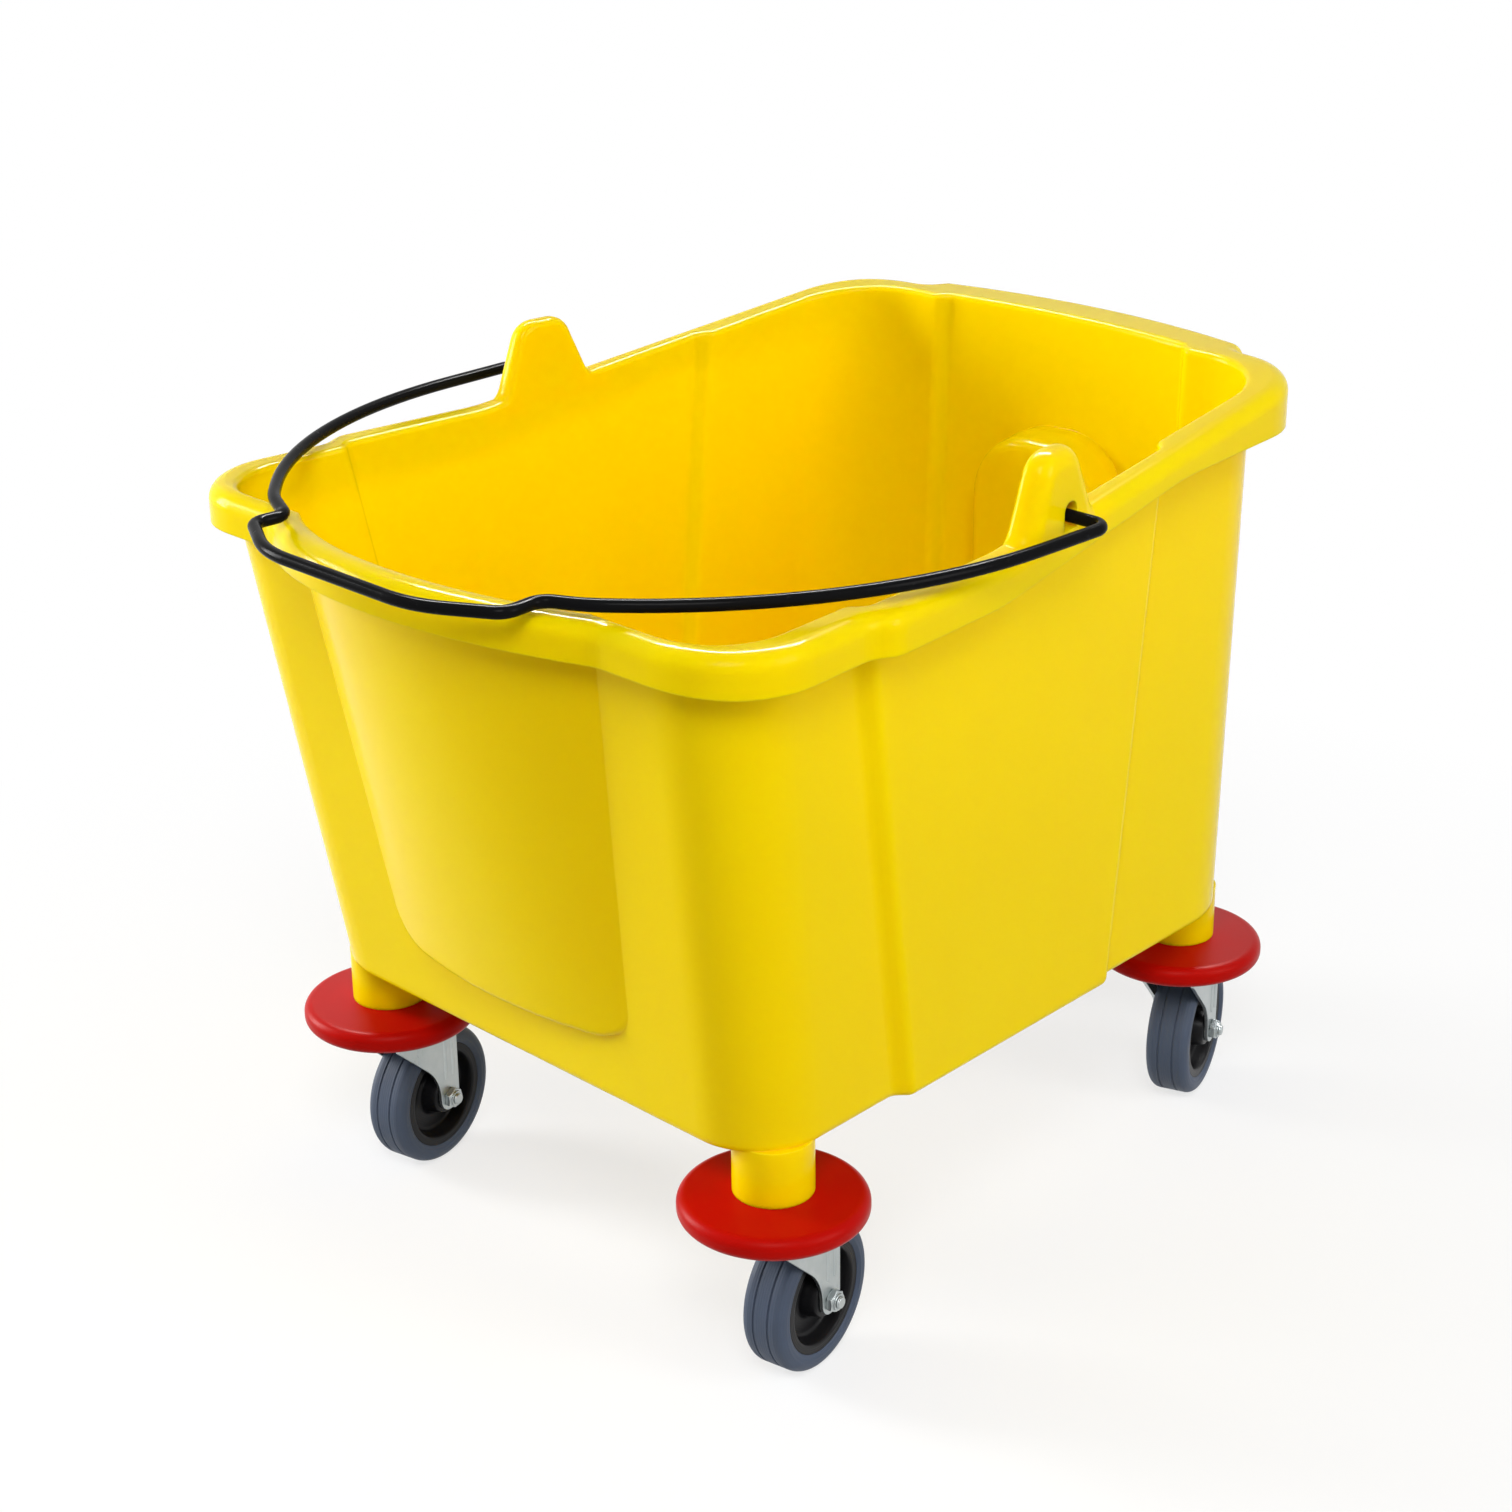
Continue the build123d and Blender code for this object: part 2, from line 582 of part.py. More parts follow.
def ring_of(corners, axis):
    """Body of revolution from (radius, height) corners."""
    return revolve(Plane.XZ * rounded_face(corners), axis)


def bumper():
    """Soft disc with a rounded shoulder, a clamped hub and a hollow underside."""
    bore = STEM_R + BUMPER_BORE_CLEAR
    hollow_z = BUMPER_LOW_Z + BUMPER_WALL
    corners = [
        (bore, BUMPER_LOW_Z, 0),
        (BUMPER_HUB_R, BUMPER_LOW_Z, 0),
        (BUMPER_HUB_R, hollow_z, 0),
        (BUMPER_R - BUMPER_WALL, hollow_z, 0),
        (BUMPER_R - BUMPER_WALL, BUMPER_LOW_Z, 0),
        (BUMPER_R, BUMPER_LOW_Z, BUMPER_LOW_ROUND),
        (BUMPER_R, BUMPER_TOP_Z - BUMPER_DROP, BUMPER_TOP_ROUND),
        (POST_R, BUMPER_TOP_Z, 0),
        (bore, BUMPER_TOP_Z, 0),
    ]
    return ring_of(corners, Axis.Z)


def ball_groove():
    """Ring that the swivel balls run in, wider than them by their clearance."""
    return Pos(0, 0, BALL_Z) * Torus(BALL_CIRCLE_R, BALL_R + BALL_CLEAR)


def stem():
    """Steel stem with its upper race and the riveted head that holds the fork."""
    top_z = BUMPER_TOP_Z + SOCKET_LENGTH - STEM_TOP_GAP
    rivet_z = CROWN_LOW_Z - RIVET_GAP
    corners = [
        (0, rivet_z - RIVET_THICK, 0),
        (RIVET_R, rivet_z - RIVET_THICK, RIVET_THICK / 2),
        (RIVET_R, rivet_z, 0),
        (STEM_R, rivet_z, 0),
        (STEM_R, RACE_LOW_Z, 0),
        (RACE_R, RACE_LOW_Z, 0),
        (RACE_R, BUMPER_LOW_Z, 0),
        (STEM_R, BUMPER_LOW_Z, 0),
        (STEM_R, top_z, STEM_TOP_GAP / 2),
        (0, top_z, 0),
    ]
    return ring_of(corners, Axis.Z) - ball_groove()


def stem_socket():
    """Plastic sleeve in the post that grips the stem."""
    face = Circle(SOCKET_R) - Circle(STEM_R + STEM_CLEAR)
    return Pos(0, 0, BUMPER_TOP_Z) * extrude(face, amount=SOCKET_LENGTH)


def bearing_balls():
    """Swivel balls, evenly spaced between the stem's race and the fork crown."""
    spots = PolarLocations(BALL_CIRCLE_R, BALL_COUNT)
    return Compound(children=[Pos(0, 0, BALL_Z) * spot * Sphere(BALL_R) for spot in spots])


def fork():
    """Pressed yoke: a crown plate over the wheel and two fluted legs that taper to the axle."""
    crown_face = Circle(CROWN_R) + Pos(0, LEG_REAR / 2) * Rectangle(2 * LEG_OUTSIDE, LEG_REAR)
    crown = Pos(0, 0, CROWN_LOW_Z) * extrude(crown_face, amount=CROWN_THICK)
    corners = [
        (-LEG_FRONT, CROWN_LOW_Z, 0),
        (-LEG_FRONT, CROWN_LOW_Z - LEG_FRONT_DEPTH, LEG_FRONT_ROUND),
        (TRAIL - LEG_ELBOW, WHEEL_R + LEG_ELBOW_RISE, LEG_ELBOW_R),
        (TRAIL - LEG_END_R, WHEEL_R - LEG_END_R, LEG_END_ROUND),
        (LEG_REAR, WHEEL_R - LEG_END_R, LEG_END_ROUND),
        (LEG_REAR, CROWN_LOW_Z, 0),
    ]
    leg = extrude(Plane.YZ.offset(LEG_INSIDE) * rounded_face(corners), amount=LEG_THICK)
    flute_low = WHEEL_R + FLUTE_RISE
    flute = Cylinder(FLUTE_R, CROWN_LOW_Z - flute_low, align=STAND)
    for side in (-1, 1):
        place = Pos(LEG_OUTSIDE + FLUTE_OUT - FLUTE_R, TRAIL + side * FLUTE_PITCH / 2, flute_low)
        leg += place * flute
    leg -= Pos(LEG_INSIDE - BEYOND, 0, 0) * Box(2 * BEYOND, 4 * BEYOND, 4 * BEYOND)
    body = crown + leg + mirror(leg, about=Plane.YZ)
    body -= Pos(0, 0, CROWN_LOW_Z) * Cylinder(STEM_R + STEM_CLEAR, CROWN_THICK, align=STAND)
    body -= ball_groove()
    return body - axle_place(Cylinder(AXLE_R + AXLE_CLEAR, 4 * LEG_OUTSIDE))


def axle_place(shape):
    """Turns a shape made about Z onto the axle line of the fork."""
    return Pos(0, TRAIL, WHEEL_R) * Rot(0, 90, 0) * shape


def axle_bolt():
    """Bolt through both legs, its hexagon head on the left."""
    length = 2 * LEG_OUTSIDE + NUT_HEIGHT + BOLT_END
    shank = Pos(0, 0, -LEG_OUTSIDE) * Cylinder(AXLE_R, length, align=STAND)
    head_face = RegularPolygon(BOLT_FLATS / 2, 6, major_radius=False)
    head = Pos(0, 0, -LEG_OUTSIDE - BOLT_HEAD) * extrude(head_face, amount=BOLT_HEAD)
    return axle_place(shank + head)


def axle_nut():
    """Hexagon nut on the bolt's right end."""
    face = RegularPolygon(BOLT_FLATS / 2, 6, major_radius=False) - Circle(AXLE_R + AXLE_CLEAR / 2)
    return axle_place(Pos(0, 0, LEG_OUTSIDE) * extrude(face, amount=NUT_HEIGHT))


def axle_sleeve():
    """Spacer tube on the bolt between the legs, which the hub turns on."""
    face = Circle(SLEEVE_R) - Circle(AXLE_R + AXLE_CLEAR)
    return axle_place(extrude(face, amount=LEG_INSIDE, both=True))


def wheel_hub():
    """Plastic hub with a rim, a thin dished web and a boss, turned about the axle."""
    boss_half = LEG_INSIDE - HUB_SIDE_GAP
    bore = SLEEVE_R + HUB_RUN_CLEAR
    web_r = HUB_R - HUB_RIM_THICK
    upper = [
        (bore, boss_half, 0),
        (HUB_BOSS_R, boss_half, HUB_ROUND / 2),
        (HUB_BOSS_R + HUB_ROUND, HUB_WEB_HALF, HUB_ROUND),
        (web_r - HUB_ROUND, HUB_WEB_HALF, HUB_ROUND),
        (web_r, HUB_RIM_HALF, HUB_ROUND / 2),
        (HUB_R, HUB_RIM_HALF, 0),
    ]
    lower = [(r, -h, c) for r, h, c in reversed(upper)]
    return axle_place(ring_of(upper + lower, Axis.Z))


def tyre():
    """Rubber band on the hub with rounded shoulders and two fine grooves round the tread."""
    floor_r = WHEEL_R - GROOVE_DEPTH
    upper = [
        (HUB_R, HUB_RIM_HALF, 0),
        (HUB_R + BEAD_RISE, TREAD_HALF, 1),
        (WHEEL_R, TREAD_HALF, SHOULDER_R),
        (WHEEL_R, GROOVE_X + GROOVE_HALF, 0),
        (floor_r, GROOVE_X + GROOVE_HALF, 0),
        (floor_r, GROOVE_X - GROOVE_HALF, 0),
        (WHEEL_R, GROOVE_X - GROOVE_HALF, 0),
    ]
    lower = [(r, -h, c) for r, h, c in reversed(upper)]
    return axle_place(ring_of(upper + lower, Axis.Z))


CASTER_PIECES = {
    "bumper": bumper,
    "stem": stem,
    "stem_socket": stem_socket,
    "bearing_balls": bearing_balls,
    "fork": fork,
    "axle_bolt": axle_bolt,
    "axle_nut": axle_nut,
    "axle_sleeve": axle_sleeve,
    "wheel_hub": wheel_hub,
    "tyre": tyre,
}


def write(shape, name):
    """Writes one piece with the origin under the middle of the whole object."""
    export_step(Pos(0, -ORIGIN_Y, 0) * shape, f"parts/{name}.step")


def main():
    os.makedirs("parts", exist_ok=True)
    write(bucket_body(), "bucket_body")
    write(bail_handle(), "bail_handle")
    for piece, make in CASTER_PIECES.items():
        shape = make()
        for corner, (x, y, turn) in CASTERS.items():
            write(Pos(x, y, 0) * Rot(0, 0, turn) * shape, f"{corner}_{piece}")


main()
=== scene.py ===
import json
import math
import bmesh
import bpy
import numpy as np
from mathutils import Matrix, Vector


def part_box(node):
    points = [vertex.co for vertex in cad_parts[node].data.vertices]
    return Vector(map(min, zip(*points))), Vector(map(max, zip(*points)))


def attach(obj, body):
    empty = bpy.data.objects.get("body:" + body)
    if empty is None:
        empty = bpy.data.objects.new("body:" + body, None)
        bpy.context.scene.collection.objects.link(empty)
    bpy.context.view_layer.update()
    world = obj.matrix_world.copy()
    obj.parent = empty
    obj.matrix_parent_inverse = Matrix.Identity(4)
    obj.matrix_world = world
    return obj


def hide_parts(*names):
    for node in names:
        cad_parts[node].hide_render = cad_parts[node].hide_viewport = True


# Mop bucket on swivel casters: finishes, fasteners, camera and studio. Metres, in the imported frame.

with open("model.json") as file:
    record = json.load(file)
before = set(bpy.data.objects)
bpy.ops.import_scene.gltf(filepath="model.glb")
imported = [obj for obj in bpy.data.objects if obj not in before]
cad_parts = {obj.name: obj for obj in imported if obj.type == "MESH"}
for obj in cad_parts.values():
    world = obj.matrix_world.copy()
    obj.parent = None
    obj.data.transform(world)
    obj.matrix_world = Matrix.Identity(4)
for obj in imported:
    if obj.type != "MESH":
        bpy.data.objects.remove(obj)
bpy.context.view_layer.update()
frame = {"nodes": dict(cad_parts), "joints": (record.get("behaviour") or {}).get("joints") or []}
NODES = frame["nodes"]
CORNERS = ("front_left", "front_right", "rear_left", "rear_right")
JOINTS = {joint["name"]: joint for joint in frame["joints"]}

# Camera, from the floor point midway between the caster stems
CAMERA_PLACE = (0.93868, -0.98128, 0.80086)
CAMERA_YAW = math.radians(44.86)
CAMERA_PITCH = math.radians(-22.87)
CAMERA_ROLL = math.radians(-0.64)
IMAGE_SIZE = 1512
FOCAL_PIXELS = 2891.04
SENSOR_WIDTH = 36.0

# Studio: soft boxes as name: (place, width, height, watts), all aimed at the tub's middle
SOFT_BOXES = {
    "key_box": ((1.5, -1.6, 2.3), 1.0, 1.0, 45.0),
    "front_box": ((-2.55, -1.3, 1.0), 0.9, 1.4, 90.0),
    "side_box": ((2.4, 0.6, 1.3), 1.0, 1.4, 30.0),
}
# Strip beyond the bucket that shows in gloss and casts no light: place, width, height, watts
RIM_STRIP = ((-0.62, 0.64, 1.9), 1.7, 0.16, 240.0)
AIM_HEIGHT = 0.27
WHITE = (1.0, 1.0, 1.0, 1.0)
AMBIENT = 0.24
FLOOR_SPAN = 24.0
FLOOR_WHITE = (0.96, 0.96, 0.96, 1.0)
FLOOR_BOUNCE = (0.45, 0.45, 0.45, 1.0)
FLOOR_NEAR = 0.25
FLOOR_FAR = 0.75
SHADOW_SHARE = 0.32

# Moulded plastics: body colour, the deeper tone it drifts to, rubbed edges, the tint of its shine,
# roughness, strength of the shine, mould grain, slow waves and how much light seeps in
TUB = {
    "colour": (0.95, 0.67, 0.0, 1.0),
    "deep": (0.93, 0.64, 0.0, 1.0),
    "rubbed": (0.97, 0.76, 0.06, 1.0),
    "shine": (1.0, 0.95, 0.75, 1.0),
    "gloss": 0.16,
    "sheen": 0.05,
    "grain_scale": 1300.0,
    "grain_height": 0.00003,
    "waviness": 0.0003,
    "seep": 0.8,
}
BUMPER = {
    "colour": (0.45, 0.003, 0.001, 1.0),
    "deep": (0.38, 0.002, 0.001, 1.0),
    "rubbed": (0.60, 0.04, 0.03, 1.0),
    "shine": (1.0, 0.45, 0.40, 1.0),
    "gloss": 0.36,
    "sheen": 0.10,
    "grain_scale": 1500.0,
    "grain_height": 0.00014,
    "waviness": 0.0004,
    "seep": 0.0,
}
HUB = {
    "colour": (0.008, 0.008, 0.009, 1.0),
    "deep": (0.004, 0.004, 0.005, 1.0),
    "rubbed": (0.04, 0.04, 0.045, 1.0),
    "shine": WHITE,
    "gloss": 0.34,
    "sheen": 0.14,
    "grain_scale": 1500.0,
    "grain_height": 0.00008,
    "waviness": 0.0002,
    "seep": 0.0,
}
SOCKET = {
    "colour": (0.33, 0.33, 0.34, 1.0),
    "deep": (0.27, 0.27, 0.28, 1.0),
    "rubbed": (0.45, 0.45, 0.46, 1.0),
    "shine": WHITE,
    "gloss": 0.50,
    "sheen": 0.4,
    "grain_scale": 1600.0,
    "grain_height": 0.00012,
    "waviness": 0.0003,
    "seep": 0.0,
}
# What the moulded plastics share
PLASTIC_EDGE = 0.0009
DRIFT_SCALE = 7.0
FLOW_SCALE = 5.0
FLOW_STRETCH = (9.0, 9.0, 1.4)
SCUFF_STRETCH = (60.0, 14.0, 420.0)
SCUFF_PALENESS = 0.15
SCUFF_ROUGHNESS = 0.16
RUB_ROUGHNESS = 0.10
WAVE_SCALE = 11.0
SEEP_REACH = (1.0, 1.0, 0.1)
SEEP_DEPTH = 0.006
# Turning rings on the hubs
HUB_RING = 0.0011
HUB_RING_HEIGHT = 0.00004

# Tyre rubber
TYRE_GREY = (0.052, 0.072, 0.116, 1.0)
TYRE_DEEP = (0.042, 0.059, 0.095, 1.0)
TYRE_DUSTY = (0.074, 0.096, 0.140, 1.0)
TYRE_EDGE = 0.0006
TYRE_SHEEN = 0.35
MOTTLE_SCALE = 90.0
SMEAR_SCALE = 24.0
DUST_FROM = 0.004
DUST_FULL = 0.0004
TREAD_LINE = 0.0013
SIDEWALL_LINE = 0.0017
TYRE_RING_HEIGHT = 0.00005
RUBBER_GRAIN_SCALE = 1800.0
RUBBER_GRAIN_HEIGHT = 0.00010

# Zinc plate
ZINC_BRIGHT = (0.52, 0.55, 0.55, 1.0)
ZINC_DULL = (0.38, 0.42, 0.425, 1.0)
ZINC_EDGE = 0.0005
CRYSTAL_SCALE = 260.0
HAZE_SCALE = 45.0
DRAWN_STRETCH = (2600.0, 2600.0, 40.0)
DRAWN_HEIGHT = 0.00004
# Bearing steel
BALL_STEEL = (0.80, 0.80, 0.82, 1.0)
BALL_STAIN = (0.62, 0.61, 0.60, 1.0)
STAIN_SCALE = 220.0
POLISH_SCALE = 3000.0
POLISH_HEIGHT = 0.00001
# Bail paint
BAIL_BLACK = (0.005, 0.005, 0.0055, 1.0)
BAIL_RUBBED = (0.05, 0.05, 0.054, 1.0)
BAIL_SHEEN = 0.025
COAT_FLOW_SCALE = 60.0
DIMPLE_SCALE = 700.0
DIMPLE_HEIGHT = 0.00008
RUB_SPOT_SCALE = 160.0

# Values between which most of a noise lies, and the usual strength of a bump
NOISE_LOW = 0.30
NOISE_HIGH = 0.70
BUMP = 0.35

# Fasteners: chamfers and collars as shares of half the width across flats, thread in metres
AROUND = 96
ROUND_ANGLES = np.linspace(0.0, math.tau, AROUND, endpoint=False)
CHAMFER_SLOPE = math.tan(math.radians(30))
FLAT_SHARE = 0.97
COLLAR_WIDTH = 0.84
COLLAR_SHARE = 0.26
COLLAR_EASE = 0.12
THREAD_PITCH = 0.001
THREAD_DEPTH = 0.0004
THREAD_STEPS = 12
PAST_SHANK = 1.05
MERGE_GAP = 1e-7
CREASE = math.radians(28)


def put(tree, kind, inputs=None, out=0, **settings):
    """Adds a shader node, sets its settings, sets or links its inputs and gives back one output."""
    made = tree.nodes.new("ShaderNode" + kind)
    for name, value in settings.items():
        setattr(made, name, value)
    for name, value in (inputs or {}).items():
        if isinstance(value, bpy.types.NodeSocket):
            tree.links.new(value, made.inputs[name])
        else:
            made.inputs[name].default_value = value
    return made.outputs[out]


def calc(tree, operation, a, b=0.0):
    """One sum on two values."""
    return put(tree, "Math", {0: a, 1: b}, operation=operation)


def spread(tree, value, low, high, to_low=0.0, to_high=1.0):
    """Carries the range low to high over to the range to_low to to_high, held at both ends."""
    ends = {"From Min": low, "From Max": high, "To Min": to_low, "To Max": to_high}
    return put(tree, "MapRange", {"Value": value, **ends})


def blend_colour(tree, share, first, second):
    """The first colour at share 0 and the second at share 1."""
    return put(tree, "Mix", {0: share, 6: first, 7: second}, out=2, data_type="RGBA")


def object_place(tree):
    """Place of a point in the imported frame."""
    return put(tree, "TexCoord", out=3)


def cloud(tree, place, scale, detail=2.0, roughness=0.5):
    """Soft noise between 0 and 1."""
    return put(tree, "TexNoise", {"Vector": place, "Scale": scale, "Detail": detail, "Roughness": roughness})


def stretched(tree, place, scales):
    """The place with each axis scaled, so that noise on it turns to streaks."""
    return put(tree, "Mapping", {"Vector": place, "Scale": scales})


def rounded_normal(tree, radius):
    """The normal as if every edge were rounded by the radius."""
    return put(tree, "Bevel", {"Radius": radius}, samples=6)


def edge_share(tree, rounded, low, high):
    """How much a point lies on an edge: one minus the product of the rounded and the true normal."""
    true_normal = put(tree, "NewGeometry", out=1)
    along = put(tree, "VectorMath", {0: rounded, 1: true_normal}, out=1, operation="DOT_PRODUCT")
    return spread(tree, calc(tree, "SUBTRACT", 1.0, along), low, high)


def raise_by(tree, height, distance, strength, normal=None):
    """Bump of one height field on top of a normal."""
    inputs = {"Height": height, "Distance": distance, "Strength": strength}
    if normal is not None:
        inputs["Normal"] = normal
    return put(tree, "Bump", inputs)


def new_finish(name):
    """An empty material with its shader: gives the material, its tree and the shader."""
    finish = bpy.data.materials.new(name)
    finish.use_nodes = True
    shader = finish.node_tree.nodes["Principled BSDF"]
    return finish, finish.node_tree, shader


def dress(tree, shader, colour, roughness, normal):
    """Links the colour, roughness and normal of a finish to its shader."""
    tree.links.new(colour, shader.inputs["Base Color"])
    tree.links.new(roughness, shader.inputs["Roughness"])
    tree.links.new(normal, shader.inputs["Normal"])


def moulded_plastic(
        name, colour, deep, rubbed, shine, gloss, sheen, grain_scale, grain_height, waviness, seep):
    """Moulded plastic: drifting colour, flow streaks, rubbed edges, fine scuffs, mould grain, slow waves."""
    finish, tree, shader = new_finish(name)
    place = object_place(tree)
    rounded = rounded_normal(tree, PLASTIC_EDGE)
    drift = cloud(tree, place, DRIFT_SCALE, 3.0)
    flow = cloud(tree, stretched(tree, place, FLOW_STRETCH), FLOW_SCALE, 4.0, 0.6)
    scuff = cloud(tree, stretched(tree, place, SCUFF_STRETCH), 1.0, 3.0, 0.65)
    scuffed = calc(tree, "MULTIPLY", spread(tree, scuff, 0.70, 0.82), spread(tree, drift, 0.50, 0.64))
    worn = edge_share(tree, rounded, 0.02, 0.30)
    rub = calc(tree, "MULTIPLY", worn, spread(tree, flow, NOISE_LOW, NOISE_HIGH, 0.10, 0.35))
    tone = blend_colour(tree, spread(tree, drift, NOISE_LOW, NOISE_HIGH), deep, colour)
    tone = blend_colour(tree, spread(tree, flow, 0.35, 0.75, 0.0, 0.35), tone, colour)
    tone = blend_colour(tree, calc(tree, "MULTIPLY", scuffed, SCUFF_PALENESS), tone, rubbed)
    tone = blend_colour(tree, rub, tone, rubbed)
    rough = spread(tree, flow, NOISE_LOW, NOISE_HIGH, gloss - 0.02, gloss + 0.03)
    rough = calc(tree, "ADD", rough, calc(tree, "MULTIPLY", scuffed, SCUFF_ROUGHNESS))
    rough = calc(tree, "ADD", rough, calc(tree, "MULTIPLY", rub, RUB_ROUGHNESS))
    normal = raise_by(tree, cloud(tree, place, WAVE_SCALE, 1.0), waviness, BUMP, rounded)
    normal = raise_by(tree, cloud(tree, place, grain_scale, 2.0, 0.6), grain_height, BUMP, normal)
    dress(tree, shader, tone, rough, normal)
    shader.inputs["Specular IOR Level"].default_value = sheen
    shader.inputs["Specular Tint"].default_value = shine
    shader.inputs["Subsurface Weight"].default_value = seep
    shader.inputs["Subsurface Radius"].default_value = SEEP_REACH
    shader.inputs["Subsurface Scale"].default_value = SEEP_DEPTH
    return finish


def wheel_place(tree, corner):
    """Place along the axle and distance from it, for the wheel at one corner."""
    spin = JOINTS[corner + "_spin"]
    turn = math.atan2(spin["axis"][1], spin["axis"][0])
    axle = {"Vector": object_place(tree), "Location": spin["pos_m"], "Rotation": (0.0, 0.0, turn)}
    local = put(tree, "Mapping", axle, vector_type="TEXTURE")
    parts = tree.nodes.new("ShaderNodeSeparateXYZ")
    tree.links.new(local, parts.inputs[0])
    along, back, up = parts.outputs
    squares = calc(tree, "ADD", calc(tree, "MULTIPLY", back, back), calc(tree, "MULTIPLY", up, up))
    return along, calc(tree, "SQRT", squares)


def rings(tree, value, pitch):
    """Even ridges: the sine of a value that goes through one turn in each pitch."""
    return calc(tree, "SINE", calc(tree, "MULTIPLY", value, math.tau / pitch))


def hub_plastic(corner):
    """Black hub plastic with fine turning rings round the axle: a sine of the distance from the axle line."""
    finish = moulded_plastic(corner + "_hub_plastic", **HUB)
    tree = finish.node_tree
    shader = tree.nodes["Principled BSDF"]
    radius = wheel_place(tree, corner)[1]
    under = shader.inputs["Normal"].links[0].from_socket
    turned = raise_by(tree, rings(tree, radius, HUB_RING), HUB_RING_HEIGHT, 0.5, under)
    tree.links.new(turned, shader.inputs["Normal"])
    return finish


def tyre_rubber(corner):
    """Blue-grey rubber: mottled, dusty where it rolls, with moulded rings on tread and sidewalls.

    The rings are a sine of the place along the axle plus a sine of the distance from it.
    """
    finish, tree, shader = new_finish(corner + "_tyre_rubber")
    place = object_place(tree)
    along, radius = wheel_place(tree, corner)
    rounded = rounded_normal(tree, TYRE_EDGE)
    low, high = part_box(corner + "_tyre")
    tread_radius = (high[2] - low[2]) / 2
    mottle = cloud(tree, place, MOTTLE_SCALE, 4.0, 0.6)
    smear = cloud(tree, place, SMEAR_SCALE, 3.0)
    rolled = spread(tree, radius, tread_radius - DUST_FROM, tread_radius - DUST_FULL)
    dust = calc(tree, "MULTIPLY", rolled, spread(tree, smear, 0.35, 0.75, 0.1, 0.6))
    tone = blend_colour(tree, spread(tree, mottle, NOISE_LOW, NOISE_HIGH), TYRE_DEEP, TYRE_GREY)
    tone = blend_colour(tree, dust, tone, TYRE_DUSTY)
    rough = spread(tree, mottle, NOISE_LOW, NOISE_HIGH, 0.46, 0.62)
    rough = calc(tree, "ADD", rough, calc(tree, "MULTIPLY", dust, 0.15))
    ridges = calc(tree, "ADD", rings(tree, along, TREAD_LINE), rings(tree, radius, SIDEWALL_LINE))
    normal = raise_by(tree, ridges, TYRE_RING_HEIGHT, 0.5, rounded)
    normal = raise_by(tree, cloud(tree, place, RUBBER_GRAIN_SCALE, 2.0), RUBBER_GRAIN_HEIGHT, 0.4, normal)
    dress(tree, shader, tone, rough, normal)
    shader.inputs["Specular IOR Level"].default_value = TYRE_SHEEN
    return finish


def zinc_plate():
    """Bright zinc plate on pressed steel: crystal patches, upright drawing lines and dulled edges."""
    finish, tree, shader = new_finish("zinc_plate")
    place = object_place(tree)
    rounded = rounded_normal(tree, ZINC_EDGE)
    crystal = put(tree, "TexVoronoi", {"Vector": place, "Scale": CRYSTAL_SCALE})
    haze = cloud(tree, place, HAZE_SCALE, 4.0, 0.6)
    drawn = cloud(tree, stretched(tree, place, DRAWN_STRETCH), 1.0, 3.0, 0.6)
    worn = edge_share(tree, rounded, 0.02, 0.25)
    tone = blend_colour(tree, spread(tree, haze, NOISE_LOW, NOISE_HIGH), ZINC_DULL, ZINC_BRIGHT)
    tone = blend_colour(tree, spread(tree, crystal, 0.0, 0.7, 0.0, 0.22), tone, ZINC_DULL)
    tone = blend_colour(tree, calc(tree, "MULTIPLY", worn, 0.5), tone, ZINC_BRIGHT)
    rough = spread(tree, haze, NOISE_LOW, NOISE_HIGH, 0.24, 0.38)
    rough = calc(tree, "ADD", rough, spread(tree, drawn, NOISE_LOW, NOISE_HIGH, 0.0, 0.08))
    normal = raise_by(tree, drawn, DRAWN_HEIGHT, BUMP, rounded)
    dress(tree, shader, tone, rough, normal)
    shader.inputs["Metallic"].default_value = 1.0
    return finish


def ball_steel():
    """Polished bearing steel with a faint stain."""
    finish, tree, shader = new_finish("ball_steel")
    place = object_place(tree)
    stain = cloud(tree, place, STAIN_SCALE, 4.0, 0.6)
    tone = blend_colour(tree, spread(tree, stain, 0.45, 0.75), BALL_STEEL, BALL_STAIN)
    rough = spread(tree, stain, 0.30, 0.75, 0.10, 0.24)
    normal = raise_by(tree, cloud(tree, place, POLISH_SCALE), POLISH_HEIGHT, 0.3)
    dress(tree, shader, tone, rough, normal)
    shader.inputs["Metallic"].default_value = 1.0
    return finish


def bail_paint():
    """Satin black paint on drawn wire: slow flow in the coat, fine dimples and rubbed spots."""
    finish, tree, shader = new_finish("bail_paint")
    place = object_place(tree)
    flow = cloud(tree, place, COAT_FLOW_SCALE, 3.0)
    dimples = cloud(tree, place, DIMPLE_SCALE, 1.0)
    rubs = spread(tree, cloud(tree, place, RUB_SPOT_SCALE, 5.0, 0.7), 0.62, 0.74, 0.0, 0.5)
    tone = blend_colour(tree, rubs, BAIL_BLACK, BAIL_RUBBED)
    rough = spread(tree, flow, NOISE_LOW, NOISE_HIGH, 0.16, 0.24)
    rough = calc(tree, "ADD", rough, calc(tree, "MULTIPLY", rubs, 0.2))
    normal = raise_by(tree, dimples, DIMPLE_HEIGHT, BUMP)
    dress(tree, shader, tone, rough, normal)
    shader.inputs["Specular IOR Level"].default_value = BAIL_SHEEN
    return finish


